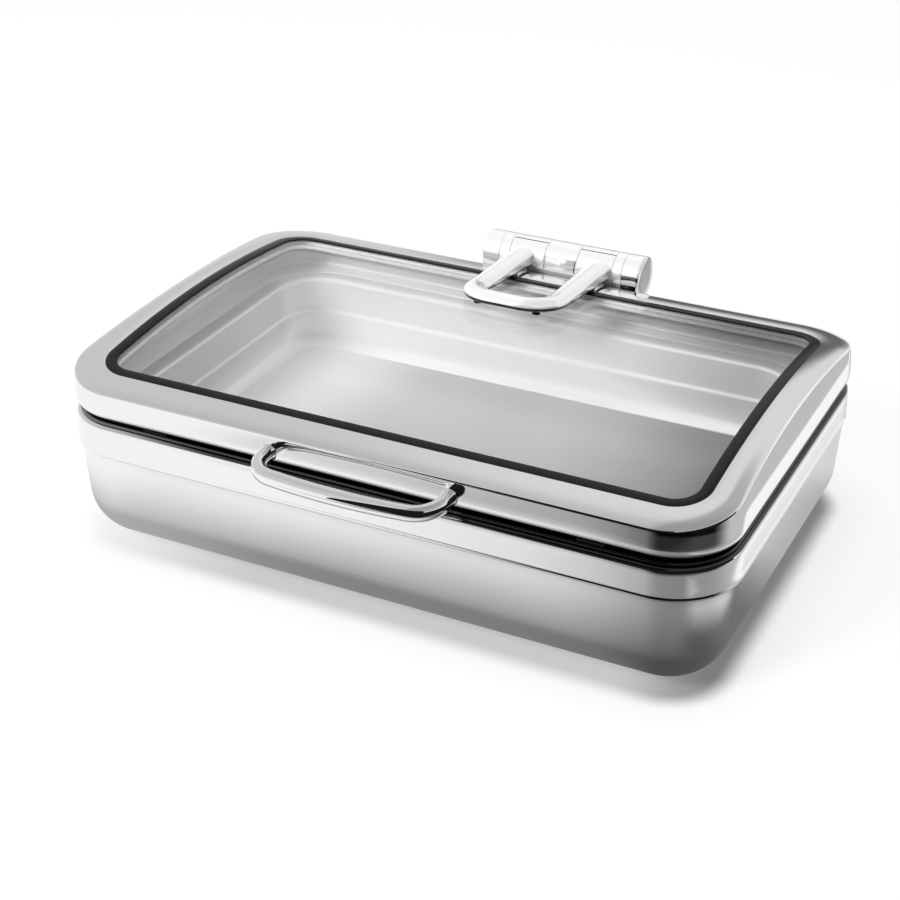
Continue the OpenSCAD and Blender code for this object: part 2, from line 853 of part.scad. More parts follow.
module loop_screws() {
    color("silver") both_sides() for (side = [-1, 1])
        on_arch(leg_x + side * loop_bolt_gap / 2, loop_bolt_y) translate([0, 0, -lid_sheet]) {
            cylinder(h = lid_sheet + leg_t - over, d = loop_bolt_d);
            mirror([0, 0, 1]) cylinder(h = ring_head_t, r = loop_bolt_d);
        }
}

module glass_pads() {
    color("black") intersection() {
        both_sides() on_arch(leg_x - leg_w / 2, loop_front + glass_pad_in) translate([0, 0, -band_lip])
            cylinder(h = leg_t, r = glass_pad_r);
        under_loop();
    }
}

module hinge_bushes() {
    color("darkgoldenrod") both_sides() difference() {
        barrel(collar_x, collar_x + collar_l - socket_l, bush_r);
        barrel(collar_x - over, collar_x + collar_l, shaft_r + run_gap);
    }
}

// Turning half of a damper: a sleeve keyed into the collar, and a hub with two vanes
module damper_rotor() {
    hub_from = cap_x + rotor_gap;
    hub_to = cap_x + chamber_l - rotor_gap;
    difference() {
        union() {
            barrel(collar_x + collar_l - socket_l, hub_from + eps, sleeve_r);
            barrel(hub_from, hub_to, hub_r);
            intersection() {
                for (a = [0, 180]) wedge(hub_from, hub_to, barrel_r, vane_rest + a, vane_half);
                barrel(hub_from, hub_to, chamber_r - rotor_gap);
            }
        }
        barrel(collar_x, barrel_end, shaft_r + rotor_gap);
    }
}

// Both rotors turn the same way, so the left one is the right one's copy in the mirror
module damper_rotor_left() {
    color("dimgray") mirror([1, 0, 0]) damper_rotor();
}

module damper_rotor_right() {
    color("dimgray") damper_rotor();
}

base_shell();
induction_plate();
rim_frame();
lid_bumpers();
food_pan();
bracket_seal();
hinge_bracket();
bracket_backing();
bracket_screws();
hinge_centre_knuckle();
hinge_knuckle_left();
hinge_knuckle_right();
knuckle_screws();
hinge_shaft();
end_cap_left();
end_cap_right();
cap_grub_screws();
lid_frame();
lid_glass();
glass_gasket();
glass_retainer();
retainer_screws();
front_handle();
handle_washers();
handle_screws();
hinge_loop();
loop_seat_pads();
loop_screws();
glass_pads();
hinge_bushes();
damper_rotor_left();
damper_rotor_right();
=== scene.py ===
import math

import bmesh
import bpy
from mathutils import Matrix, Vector

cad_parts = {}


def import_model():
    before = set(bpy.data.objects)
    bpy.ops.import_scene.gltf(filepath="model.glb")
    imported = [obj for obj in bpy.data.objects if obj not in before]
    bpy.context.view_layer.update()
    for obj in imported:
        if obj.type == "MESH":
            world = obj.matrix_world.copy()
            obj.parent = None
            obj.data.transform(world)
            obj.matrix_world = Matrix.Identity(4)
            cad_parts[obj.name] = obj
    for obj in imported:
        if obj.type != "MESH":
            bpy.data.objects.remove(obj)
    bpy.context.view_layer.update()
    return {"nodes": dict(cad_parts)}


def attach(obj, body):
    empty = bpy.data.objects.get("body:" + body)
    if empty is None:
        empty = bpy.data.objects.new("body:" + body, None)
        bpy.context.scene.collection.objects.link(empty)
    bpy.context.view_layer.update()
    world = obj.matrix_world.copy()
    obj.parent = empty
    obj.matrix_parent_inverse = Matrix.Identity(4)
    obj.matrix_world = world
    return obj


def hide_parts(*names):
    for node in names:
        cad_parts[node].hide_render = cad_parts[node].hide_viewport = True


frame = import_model()
print("frame loaded:", len(frame["nodes"]), "nodes")


# Small helpers for modelling, all sizes in millimetres
def clearSelection():
    if bpy.context.mode != "OBJECT":
        bpy.ops.object.mode_set(mode="OBJECT")
    bpy.ops.object.select_all(action="DESELECT")


def pickUp(piece):
    clearSelection()
    piece.select_set(True)
    bpy.context.view_layer.objects.active = piece


# One closed ring is placed, then pulled on from ring to ring; the ends are closed as asked
def loft(name, rings, ends="open"):
    clearSelection()
    bpy.ops.mesh.primitive_circle_add(vertices=len(rings[0]), radius=0.1)
    piece = bpy.context.active_object
    piece.name = name
    piece.data.name = name
    bpy.ops.object.mode_set(mode="EDIT")
    bpy.ops.mesh.select_all(action="SELECT")
    shape = bmesh.from_edit_mesh(piece.data)
    order = shape.verts.layers.int.new("order")
    for spot, vert in enumerate(shape.verts):
        vert[order] = spot
        vert.co = Vector(rings[0][spot]) / 1000
    for ring in rings[1:]:
        bpy.ops.mesh.extrude_edges_move()
        shape = bmesh.from_edit_mesh(piece.data)
        order = shape.verts.layers.int["order"]
        for vert in shape.verts:
            if vert.select:
                vert.co = Vector(ring[vert[order]]) / 1000
        bmesh.update_edit_mesh(piece.data)
    if ends == "last":
        bpy.ops.mesh.edge_face_add()
    bpy.ops.mesh.select_all(action="SELECT")
    if ends == "both":
        bpy.ops.mesh.fill_holes(sides=0)
    bpy.ops.mesh.remove_doubles(threshold=0.000001)
    bpy.ops.mesh.normals_make_consistent(inside=False)
    bpy.ops.object.mode_set(mode="OBJECT")
    return piece


def addModifier(piece, kind, **settings):
    pickUp(piece)
    step = piece.modifiers.new(kind.title(), kind)
    for key, value in settings.items():
        setattr(step, key, value)
    bpy.ops.object.modifier_apply(modifier=step.name)


def smoothBy(piece, degrees):
    pickUp(piece)
    bpy.ops.object.shade_smooth_by_angle(angle=math.radians(degrees))


# Spots round a rounded rectangle: corner centre and outward direction
def spotsRound(halfX, halfY, radius, perCorner=20, alongX=16, alongY=28):
    across, along = halfX - radius, halfY - radius
    corners = [(across, along), (-across, along), (-across, -along), (across, -along)]
    spots = []
    for quarter in range(4):
        here, ahead = corners[quarter], corners[(quarter + 1) % 4]
        for i in range(perCorner + 1):
            turn = math.pi / 2 * (quarter + i / perCorner)
            spots.append((here[0], here[1], math.cos(turn), math.sin(turn)))
        count = alongX if quarter % 2 == 0 else alongY
        facing = math.pi / 2 * (quarter + 1)
        for i in range(1, count):
            part = i / count
            spots.append((here[0] + (ahead[0] - here[0]) * part, here[1] + (ahead[1] - here[1]) * part,
                          math.cos(facing), math.sin(facing)))
    return spots


def ringAt(spots, reach, height):
    return [(x + dx * reach, y + dy * reach, height) for x, y, dx, dy in spots]


def arcPoints(centre, radius, start, end, steps):
    turns = [math.radians(start + (end - start) * i / steps) for i in range(steps + 1)]
    return [(centre[0] + radius * math.cos(turn), centre[1] + radius * math.sin(turn)) for turn in turns]


# Points of a straight run, both ends left out
def between(first, last, count):
    return [tuple(a + (b - a) * i / (count + 1) for a, b in zip(first, last)) for i in range(1, count + 1)]


# The last value up to which the test holds, found by halving
def halve(low, high, test):
    for _ in range(40):
        middle = (low + high) / 2
        low, high = (middle, high) if test(middle) else (low, middle)
    return low


# Shader maths
def mathPair(operation):
    def forward(self, other):
        return self.look.maths(operation, self, other)

    def reflected(self, other):
        return self.look.maths(operation, other, self)

    return forward, reflected


class Wire:
    def __init__(self, look, socket):
        self.look = look
        self.socket = socket

    __add__, __radd__ = mathPair("ADD")
    __sub__, __rsub__ = mathPair("SUBTRACT")
    __mul__, __rmul__ = mathPair("MULTIPLY")
    __truediv__, __rtruediv__ = mathPair("DIVIDE")
    __pow__, __rpow__ = mathPair("POWER")


class Look:
    def __init__(self, owner):
        owner.use_nodes = True
        self.owner = owner
        self.tree = owner.node_tree
        self.tree.nodes.clear()

    # Settings first, then the values or links of the sockets
    def node(self, kind, settings=None, sockets=None, output=0):
        made = self.tree.nodes.new(kind)
        for key, value in (settings or {}).items():
            if key == "stops":
                ramp = made.color_ramp.elements
                while len(ramp) < len(value):
                    ramp.new(0.5)
                for stop, (place, grey) in zip(ramp, value):
                    stop.position = place
                    stop.color = (grey, grey, grey, 1)
            else:
                setattr(made, key, value)
        for key, value in (sockets or {}).items():
            self.feed(made.inputs[key], value)
        return Wire(self, made.outputs[output]) if made.outputs else made

    def feed(self, socket, value):
        if isinstance(value, Wire):
            self.tree.links.new(value.socket, socket)
        elif isinstance(value, tuple) and len(value) == 3 and socket.type == "RGBA":
            socket.default_value = (*value, 1)
        else:
            socket.default_value = value

    def maths(self, operation, first, second):
        return self.node("ShaderNodeMath", {"operation": operation}, {0: first, 1: second})

    def blend(self, amount, first, second):
        return self.node("ShaderNodeMix", {"data_type": "RGBA"}, {0: amount, 6: first, 7: second}, 2)

    def place(self):
        return self.node("ShaderNodeTexCoord", output="Object")

    # One part of a place or direction: X, Y or Z
    def axis(self, vector, part):
        return self.node("ShaderNodeSeparateXYZ", None, {0: vector}, part)

    def noise(self, vector, scale, detail=3, rough=0.5):
        return self.node("ShaderNodeTexNoise", None,
                         {"Vector": vector, "Scale": scale, "Detail": detail, "Roughness": rough})

    def spread(self, value, low, high):
        return self.node("ShaderNodeMapRange", None, {"Value": value, "To Min": low, "To Max": high})

    # From 0 to 1 between two values, softly
    def fade(self, value, first, last):
        return self.node("ShaderNodeMapRange", {"interpolation_type": "SMOOTHSTEP"},
                         {"Value": value, "From Min": first, "From Max": last})

    def bump(self, height, depth, strength=1.0):
        return self.node("ShaderNodeBump", None, {"Height": height, "Distance": depth, "Strength": strength})

    def surface(self, wire):
        forWorld = isinstance(self.owner, bpy.types.World)
        kind = "ShaderNodeOutputWorld" if forWorld else "ShaderNodeOutputMaterial"
        self.node(kind, None, {"Surface": wire})
        return self.owner


def dress(piece, material):
    if not piece.material_slots:
        piece.data.materials.append(material)
    for slot in piece.material_slots:
        slot.material = material


# A second finish for the faces that the test picks, by their centre in millimetres and their direction
def dressSome(piece, material, test):
    piece.data.materials.append(material)
    for face in piece.data.polygons:
        if test(face.center * 1000, face.normal):
            face.material_index = len(piece.data.materials) - 1


def settle(piece, body, slot, *nodes):
    if "order" in piece.data.attributes:
        piece.data.attributes.remove(piece.data.attributes["order"])
    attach(piece, body)
    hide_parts(*nodes)


# Finishes
# Painted shade deep in the gap under the lid: the metal's colour is darkened there, less so at the far left
gapShadeTone = {"dark": (0.08, 0.08, 0.08), "clearFrom": -0.12, "clearTo": -0.27, "always": (1, 2)}


# Bright metal; between two heights its colour can be darkened, a painted shade as deep in a gap
def makePolish(name, tint, gloss, wave, smudge, gap=None):
    look = Look(bpy.data.materials.new(name))
    here = look.place()
    sway = look.noise(here, 9, 1)
    hand = look.noise(here, 34, 4, 0.6)
    fine = look.noise(here, 900, 2)
    rough = look.spread(hand, gloss, gloss + smudge) + fine * 0.01
    shade = look.blend(look.spread(hand, 0.0, 1.0), tint, tuple(c * 0.965 for c in tint))
    # Painted shade: dark below the given heights, cleared towards the far left
    if gap:
        leftward = look.fade(look.axis(here, "X"), gapShadeTone["clearFrom"], gapShadeTone["clearTo"])
        clear = look.maths("MAXIMUM", look.fade(look.axis(here, "Z"), *gap), leftward)
        shade = look.blend(clear, gapShadeTone["dark"], shade)
    relief = look.bump(sway, wave)
    return look.surface(look.node("ShaderNodeBsdfPrincipled", None, {
        "Base Color": shade, "Metallic": 1.0, "Roughness": rough, "Normal": relief}))


# Satin metal; between two places along X its colour can turn darker to the right, a painted shade
def makeSatin(name, tint, gloss, grain, metal=1.0, shadeToRight=None):
    look = Look(bpy.data.materials.new(name))
    here = look.place()
    fine = look.noise(here, grain, 3, 0.6)
    cloud = look.noise(here, 16, 3)
    rough = look.spread(cloud, gloss - 0.04, gloss + 0.05)
    shade = look.blend(fine, tint, tuple(c * 0.92 for c in tint))
    if shadeToRight:
        rightward = look.fade(look.axis(here, "X"), *shadeToRight)
        shade = look.blend(rightward, shade, tuple(c * 0.4 for c in tint))
    relief = look.bump(fine, 0.00002, 0.6)
    return look.surface(look.node("ShaderNodeBsdfPrincipled", None, {
        "Base Color": shade, "Metallic": metal, "Roughness": rough, "Normal": relief}))


# Satin of the pan: pale lines where the pressing turns, painted highlights; painted light and shade over the
# rest, with a floor that goes from bright to dull to the right
panTone = {"step": 0.0902, "floorX": 0.2297, "floorY": 0.1272, "line": 0.26, "lower": 0.2, "metal": 0.5}


def makePanSteel(name, tint, gloss):
    look = Look(bpy.data.materials.new(name))
    here = look.place()
    x, y, z = (look.axis(here, part) for part in "XYZ")
    fine = look.noise(here, 1200, 3, 0.6)
    cloud = look.noise(here, 14, 3)
    # Painted highlights: pale lines at the step, the foot and the lip
    step = look.fade(look.maths("ABSOLUTE", z - panTone["step"], 0), 0.0018, 0.0006)
    foot = look.fade(z, 0.0576, 0.0592) * look.fade(z, 0.068, 0.062)
    lip = look.fade(z, 0.1185, 0.1198) * look.fade(z, 0.1213, 0.1209)
    floor = look.fade(z, 0.0582, 0.0575)
    # Painted light: the walls paler low down
    lower = look.fade(z, 0.088, 0.064) * (1 - floor)
    pastX = look.maths("ABSOLUTE", x, 0) - panTone["floorX"]
    pastY = look.maths("ABSOLUTE", y, 0) - panTone["floorY"]
    edge = look.maths("MAXIMUM", pastX, pastY)
    # Painted light and shade: the floor darker near its edge and to the right and paler at the left; the
    # walls darker to the right, paler at the back and darker at the front left
    dim = floor * (look.fade(edge, -0.06, -0.004) * 0.1 + look.fade(x, 0.04, 0.22) * 0.34 + 0.1)
    dim = dim + (1 - floor) * look.fade(x, 0.04, 0.22) * 0.42
    bright = floor * look.fade(x, -0.08, -0.22) * 0.4 + (1 - floor) * look.fade(y, 0.1, 0.13) * 0.26
    left = look.fade(x, -0.2, -0.24) * (1 - floor) * look.fade(y, 0.12, -0.04) * 0.14
    tone = look.spread(fine, 0.70, 0.75) + lower * panTone["lower"] + (step + lip + foot) * panTone["line"]
    tone = tone + bright - dim - left
    shade = look.blend(tone, (0, 0, 0), tint)
    rough = look.spread(cloud, gloss - 0.04, gloss + 0.05)
    return look.surface(look.node("ShaderNodeBsdfPrincipled", None, {
        "Base Color": shade, "Metallic": panTone["metal"], "Roughness": rough,
        "Normal": look.bump(fine, 0.00002, 0.6)}))


def makeRubber(name, tint, gloss, shine=0.06):
    look = Look(bpy.data.materials.new(name))
    here = look.place()
    grain = look.noise(here, 1400, 2)
    cloud = look.noise(here, 60, 3)
    shade = look.blend(cloud, tint, tuple(c * 1.6 for c in tint))
    return look.surface(look.node("ShaderNodeBsdfPrincipled", None, {
        "Base Color": shade, "Roughness": look.spread(cloud, gloss, gloss + 0.12),
        "Specular IOR Level": shine, "Normal": look.bump(grain, 0.00003, 0.5)}))


def makeGlass(name, tint, face):
    look = Look(bpy.data.materials.new(name))
    edge = look.node("ShaderNodeLayerWeight", None, {"Blend": 0.5}, "Facing")
    gloss = edge ** 5 * (1 - face) + face
    film = look.noise(look.place(), 22, 3)
    through = look.node("ShaderNodeBsdfTransparent", None, {"Color": tint})
    mirror = look.node("ShaderNodeBsdfPrincipled", None, {
        "Base Color": (0.9, 0.92, 0.92), "Metallic": 1.0, "Roughness": look.spread(film, 0.01, 0.04)})
    return look.surface(look.node("ShaderNodeMixShader", None, {0: gloss, 1: through, 2: mirror}))


polish = makePolish("polishedSteel", (0.90, 0.905, 0.91), 0.035, 0.0004, 0.03)
# The lid's steel turns dark towards its lower edge: painted shade in the gap under the lid
lidSteel = makePolish("lidSteel", (0.90, 0.905, 0.91), 0.035, 0.0004, 0.03, (0.1236, 0.1294))
# The rim's steel darkens to the right: painted shade
rimSteel = makeSatin("rimSteel", (0.93, 0.93, 0.935), 0.36, 900, 0.2, (0.06, 0.2))
# Painted shade for the gap under the lid, the loop's underside, slits and grooves: dark, less so at the far
# left
gapShade = makePolish("gapShade", (0.2, 0.2, 0.2), 0.12, 0.0002, 0.1, gapShadeTone["always"])
# Painted shade on the base's shoulder under the lid, fading to bright at the far left
shoulderShade = makePolish("shoulderShade", (0.88, 0.885, 0.89), 0.12, 0.0002, 0.1, gapShadeTone["always"])
chrome = makePolish("handleChrome", (0.93, 0.935, 0.94), 0.03, 0.0001, 0.02)
pearl = makeSatin("hingeChrome", (1.0, 1.0, 1.0), 0.1, 1500, 0.65)
satin = makePanSteel("satinPan", (0.98, 0.98, 0.98), 0.44)
# The lid's inside darkens to the right: painted shade
inside = makeSatin("lidInside", (0.96, 0.96, 0.965), 0.4, 900, 0.15, (0.06, 0.2))
bracketSteel = makeSatin("bracketSteel", (0.3, 0.3, 0.3), 0.3, 700)
pressed = makeSatin("pressedSteel", (0.7, 0.7, 0.7), 0.36, 700)
hobPlate = makeSatin("heatingPlate", (0.36, 0.36, 0.37), 0.42, 500)
silicone = makeRubber("blackSilicone", (0.006, 0.006, 0.0065), 0.5)
sealRubber = makeRubber("sealSilicone", (0.005, 0.005, 0.0055), 0.1, 0.14)
damper = makeRubber("damperPlastic", (0.05, 0.05, 0.055), 0.45)
bronze = makeSatin("bronzeBush", (0.55, 0.36, 0.18), 0.34, 900)
clearGlass = makeGlass("lidGlass", (0.985, 0.987, 0.987), 0.035)

cadLooks = {
    "induction_plate": hobPlate, "lid_bumpers": silicone, "bracket_seal": silicone,
    "hinge_bracket": bracketSteel, "bracket_backing": pressed, "bracket_screws": pressed,
    "knuckle_screws": pressed, "hinge_shaft": pressed, "cap_grub_screws": pressed,
    "glass_retainer": inside, "retainer_screws": inside, "handle_washers": pressed, "handle_screws": pressed,
    "loop_seat_pads": pearl, "loop_screws": pressed, "glass_pads": silicone, "hinge_bushes": bronze,
    "damper_rotor_left": damper, "damper_rotor_right": damper, "base_shell": polish, "rim_frame": rimSteel,
    "food_pan": satin, "lid_frame": lidSteel, "lid_glass": clearGlass, "glass_gasket": sealRubber,
    "front_handle": chrome, "hinge_loop": pearl, "hinge_centre_knuckle": pearl, "hinge_knuckle_left": pearl,
    "hinge_knuckle_right": pearl, "end_cap_left": chrome, "end_cap_right": chrome,
}
for nodeName, material in cadLooks.items():
    dress(frame["nodes"][nodeName], material)
print("finishes made")


# Base: the drawn shell, from the shelf over the shoulder and down to the floor
base = {"halfX": 291, "halfY": 190, "radius": 56, "shoulder": 119, "shoulderR": 4, "shelf": 14, "line": 92,
        "lineIn": 1.5, "draft": 4.5, "footR": 42, "floor": 2.5, "sheet": 1.0, "darkTop": 1.5}


def makeBase():
    spots = spotsRound(base["halfX"], base["halfY"], base["radius"])
    lean = math.radians(base["draft"])
    r = base["radius"]
    wallTop = (r - base["lineIn"], base["line"] - base["lineIn"])
    footZ = base["floor"] + base["footR"]
    footX = (wallTop[0] * math.cos(lean) - wallTop[1] * math.sin(lean) - base["footR"]
             + footZ * math.sin(lean)) / math.cos(lean)
    foot = arcPoints((footX, footZ), base["footR"], -base["draft"], -90, 20)
    top = base["shoulder"]
    over = arcPoints((r - base["shoulderR"], top - base["shoulderR"]), base["shoulderR"], 90, 0, 8)
    profile = [(r - base["shelf"], top), (r - base["shelf"] + 2, top)]
    profile += between(profile[-1], over[0], 2) + over
    line = base["line"]
    profile += between(over[-1], (r, line + 2.4), 3)
    bead = ((0, 2.4), (0.06, 1.9), (0.22, 1.2), (0.4, 0.6), (0.5, 0.1), (0.42, -0.4), (0.1, -0.9))
    profile += [(r + out, line + up) for out, up in bead]
    profile += [(wallTop[0] + 0.1, wallTop[1] + 0.25), (wallTop[0], wallTop[1] - 0.3)]
    profile += between(wallTop, foot[0], 6) + foot
    profile += [(footX - 4, base["floor"])]
    shell = loft("baseShell", [ringAt(spots, reach, z) for reach, z in profile], "last")
    addModifier(shell, "SOLIDIFY", thickness=base["sheet"] / 1000, offset=-1)
    smoothBy(shell, 35)
    dress(shell, polish)
    # The top of the shoulder, under the lid, takes the painted shade
    dressSome(shell, shoulderShade, lambda spot, way: spot.z > top - base["darkTop"])
    settle(shell, "base", "polished_steel", "base_shell")


# Rim: neck, rolled edge, flat top, and the well and seat of the pan
rim = {"top": 121.8, "neck": 8, "rollIn": 4.5, "rollR": 1.3, "wellX": 266, "wellY": 163.5, "wellR": 59,
       "seat": 118.1, "seatW": 9, "lip": 6, "sheet": 0.8, "darkIn": 11}


def makeRim():
    outer = spotsRound(base["halfX"], base["halfY"], base["radius"])
    inner = spotsRound(rim["wellX"], rim["wellY"], rim["wellR"])
    r, top = base["radius"], rim["top"]
    neck = r - rim["neck"]
    roll = (r - rim["rollIn"], top - rim["rollR"])
    profile = [(neck, base["shoulder"]), (neck, top - 1.8), (neck + 0.4, top - 1.2)]
    profile += [(roll[0] - 1.4, top - 1.2)]
    profile += arcPoints(roll, rim["rollR"], -160, 90, 14) + [(r - rim["darkIn"], top)]
    rings = [ringAt(outer, reach, z) for reach, z in profile]
    wellR, seat = rim["wellR"], rim["seat"]
    seatIn = wellR - rim["seatW"]
    wall = [(wellR + 0.6, top), (wellR + 0.2, top - 0.15), (wellR, top - 0.6), (wellR, seat + 0.8)]
    wall += [(wellR - 0.2, seat + 0.2), (wellR - 0.8, seat), (seatIn, seat), (seatIn - 0.5, seat - 0.5)]
    wall += [(seatIn - 0.6, seat - rim["lip"])]
    rings += [ringAt(inner, reach, z) for reach, z in wall]
    ring = loft("rimFrame", rings)
    addModifier(ring, "SOLIDIFY", thickness=rim["sheet"] / 1000, offset=-1)
    smoothBy(ring, 35)
    dress(ring, rimSteel)

    # Neck, roll and the strip beside it take the dark gap finish: painted shade in the gap under the lid
    def outside(spot, way):
        pastX, pastY = max(0, abs(spot.x) - base["halfX"] + r), max(0, abs(spot.y) - base["halfY"] + r)
        return math.hypot(pastX, pastY) > r - rim["darkIn"] + 1

    dressSome(ring, gapShade, outside)
    settle(ring, "base", "polished_steel", "rim_frame")


# Food pan, from the turned edge of its flange down to the floor
pan = {"halfX": 265, "halfY": 162.5, "radius": 58, "top": 121.3, "edge": 3.2, "edgeR": 1.6, "flange": 15,
       "lipR": 4, "draft": 3, "stepDrop": 30, "step": 3, "floor": 56.3, "floorR": 15, "sheet": 0.8}


def makePan():
    spots = spotsRound(pan["halfX"], pan["halfY"], pan["radius"])
    lean = math.radians(pan["draft"])
    r, top = pan["radius"], pan["top"]
    lip = (r - pan["flange"] + pan["lipR"], top - pan["lipR"])
    high = (lip[0] - pan["lipR"] * math.cos(lean), lip[1] + pan["lipR"] * math.sin(lean))
    stepZ = top - pan["stepDrop"]
    stepX = high[0] - (high[1] - stepZ) * math.tan(lean)
    low = (stepX - pan["step"], stepZ - pan["step"])
    floorZ = pan["floor"] + pan["floorR"]
    floorX = (low[0] * math.cos(lean) - low[1] * math.sin(lean) - pan["floorR"]
              + floorZ * math.sin(lean)) / math.cos(lean)
    profile = [(r, top - pan["edge"])]
    profile += arcPoints((r - pan["edgeR"], top - pan["edgeR"]), pan["edgeR"], 0, 90, 6)
    profile += arcPoints(lip, pan["lipR"], 90, 180 - pan["draft"], 8)
    profile += between(high, (stepX, stepZ), 3)
    profile += [(stepX + 0.05, stepZ + 1.4), (stepX - 0.3, stepZ + 0.3), (stepX - 0.9, stepZ - 0.7),
                (low[0] + 0.8, low[1] + 0.7), (low[0] + 0.15, low[1] - 0.4), (low[0] - 0.05, low[1] - 1.4)]
    foot = arcPoints((floorX, floorZ), pan["floorR"], -pan["draft"], -90, 12)
    profile += between(profile[-1], foot[0], 2) + foot
    profile += [(floorX - 3, pan["floor"])]
    tray = loft("foodPan", [ringAt(spots, reach, z) for reach, z in profile], "last")
    addModifier(tray, "SOLIDIFY", thickness=pan["sheet"] / 1000, offset=1)
    smoothBy(tray, 40)
    dress(tray, satin)
    settle(tray, "pan", "satin_steel", "food_pan")


# Lid: the arch runs front to back, the sides bulge out
lid = {"low": 123.3, "crown": 167.5, "archR": 1040.18, "footR": 9.7, "sideR": 300, "bulge": 146, "bulgeR": 38,
       "bulgeUp": 30, "sheet": 1.2, "windowX": 265, "windowY": 163, "windowR": 30, "creaseSide": 1.8,
       "creaseTop": 2.4, "swell": 1.0, "roll": 0.36, "slope": 0.22}


def archZ(y, depth=0.0):
    return lid["crown"] - lid["archR"] + math.sqrt((lid["archR"] - depth) ** 2 - y * y)


def onArch(points, depth):
    return [(point[0], point[1], archZ(point[1], depth)) for point in points]


# How far the lid's side stands in from its widest point: rounded at the foot, nearly upright, then bulged
def sideIn(z):
    rise = z - lid["low"] - lid["footR"]
    if rise < 0:
        return lid["footR"] - math.sqrt(max(0, lid["footR"] ** 2 - rise * rise))
    upright = min(z, lid["bulge"]) - lid["low"] - lid["footR"]
    flat = lid["sideR"] - math.sqrt(lid["sideR"] ** 2 - upright * upright)
    over = max(0, z - lid["bulge"])
    return flat + over * upright / lid["sideR"] + lid["bulgeR"] - math.sqrt(lid["bulgeR"] ** 2 - over * over)


def makeLidFrame():
    spots = spotsRound(base["halfX"], base["halfY"], base["radius"])
    window = spotsRound(lid["windowX"], lid["windowY"], lid["windowR"])
    r = base["radius"]

    def side(spot, z):
        x, y, dx, dy = spot
        reach = r - sideIn(z)
        return (x + dx * reach, y + dy * reach, z)

    def creaseHeight(spot):
        return halve(lid["bulge"], lid["bulge"] + lid["bulgeUp"], lambda z: z < archZ(side(spot, z)[1]))

    creases = [creaseHeight(spot) for spot in spots]
    middle = (r - lid["footR"], lid["low"] + lid["footR"])
    turned = arcPoints(middle, lid["footR"], -90, 0, 12)
    lip = ((4, 1.2), (3, 0.5), (1, 0))
    rings = [ringAt(spots, middle[0] - back, lid["low"] - drop) for back, drop in lip]
    rings += [ringAt(spots, reach, z) for reach, z in turned]
    sideSteps = 24
    for i in range(1, sideSteps + 1):
        ring = []
        for spot, crease in zip(spots, creases):
            first, last = turned[-1][1], crease - lid["creaseSide"]
            ring.append(side(spot, first + (last - first) * i / sideSteps))
        rings.append(ring)
    edges = [side(spot, crease) for spot, crease in zip(spots, creases)]
    edges = [(x, y, z - lid["creaseTop"] * lid["slope"]) for x, y, z in edges]
    inner = onArch(ringAt(window, lid["windowR"], 0), 0)
    tops = []
    for edge, stop in zip(edges, inner):
        span = math.hypot(edge[0] - stop[0], edge[1] - stop[1])
        part = lid["creaseTop"] / span
        x, y = edge[0] + (stop[0] - edge[0]) * part, edge[1] + (stop[1] - edge[1]) * part
        tops.append((x, y, archZ(y)))
    start, roundSteps = rings[-1], 7
    for i in range(1, roundSteps):
        t = i / roundSteps
        ring = []
        for a, b, c in zip(start, edges, tops):
            ring.append(tuple((1 - t) ** 2 * p + 2 * t * (1 - t) * q + t * t * s for p, q, s in zip(a, b, c)))
        rings.append(ring)
    flangeSteps = 12
    for i in range(flangeSteps + 1):
        t = i / flangeSteps
        flat = [(a[0] + (b[0] - a[0]) * t, a[1] + (b[1] - a[1]) * t) for a, b in zip(tops, inner)]
        past = 1 - t / lid["roll"] if t < lid["roll"] else (t - lid["roll"]) / (1 - lid["roll"])
        rings.append(onArch(flat, -lid["swell"] * (1 - past * past)))
    shell = loft("lidFrame", rings)
    dress(shell, lidSteel)
    shell.data.materials.append(inside)
    addModifier(shell, "SOLIDIFY", thickness=lid["sheet"] / 1000, offset=-1, material_offset=1,
                material_offset_rim=1)
    smoothBy(shell, 35)
    settle(shell, "lid", "polished_steel", "lid_frame")


# The seal round the glass: a section with a groove that the glass sits in
seal = {"band": 10, "lip": 1.5, "glass": 5, "groove": 4, "gap": 0.1, "crown": 0.5, "pale": 0.2}


def makeSeal():
    spots = spotsRound(lid["windowX"], lid["windowY"], lid["windowR"])
    r = lid["windowR"]
    depth = seal["glass"] + 2 * seal["lip"]
    out, into, groove = r - seal["gap"], r - seal["band"], r - seal["groove"]
    top, high, low = seal["crown"], seal["lip"], seal["lip"] + seal["glass"]
    section = [(out, depth), (out, top), (out - 0.15, top * 0.3), (out - 0.6, 0), (out - 4, -0.15),
               (into + 1.2, 0), (into + 0.4, 0.25), (into + 0.1, 0.7), (into, high), (groove, high),
               (groove, low), (into, low), (into + 0.1, depth - 0.3), (into + 0.5, depth), (out, depth)]
    rings = [onArch(ringAt(spots, reach, 0), deep) for reach, deep in section]
    band = loft("glassSeal", rings)
    smoothBy(band, 40)
    dress(band, sealRubber)
    # Below its top lip the black rubber takes the pale finish of the lid's inside: painted light
    dressSome(band, inside, lambda spot, way: spot.z < archZ(spot.y, high + seal["pale"]))
    settle(band, "lid", "black_silicone", "glass_gasket")


# The arched glass: rows from front to back, each as wide as the rounded outline there
pane = {"halfX": 261, "halfY": 159, "radius": 26, "depth": 1.5, "thick": 5, "rows": 72, "cornerRows": 14}


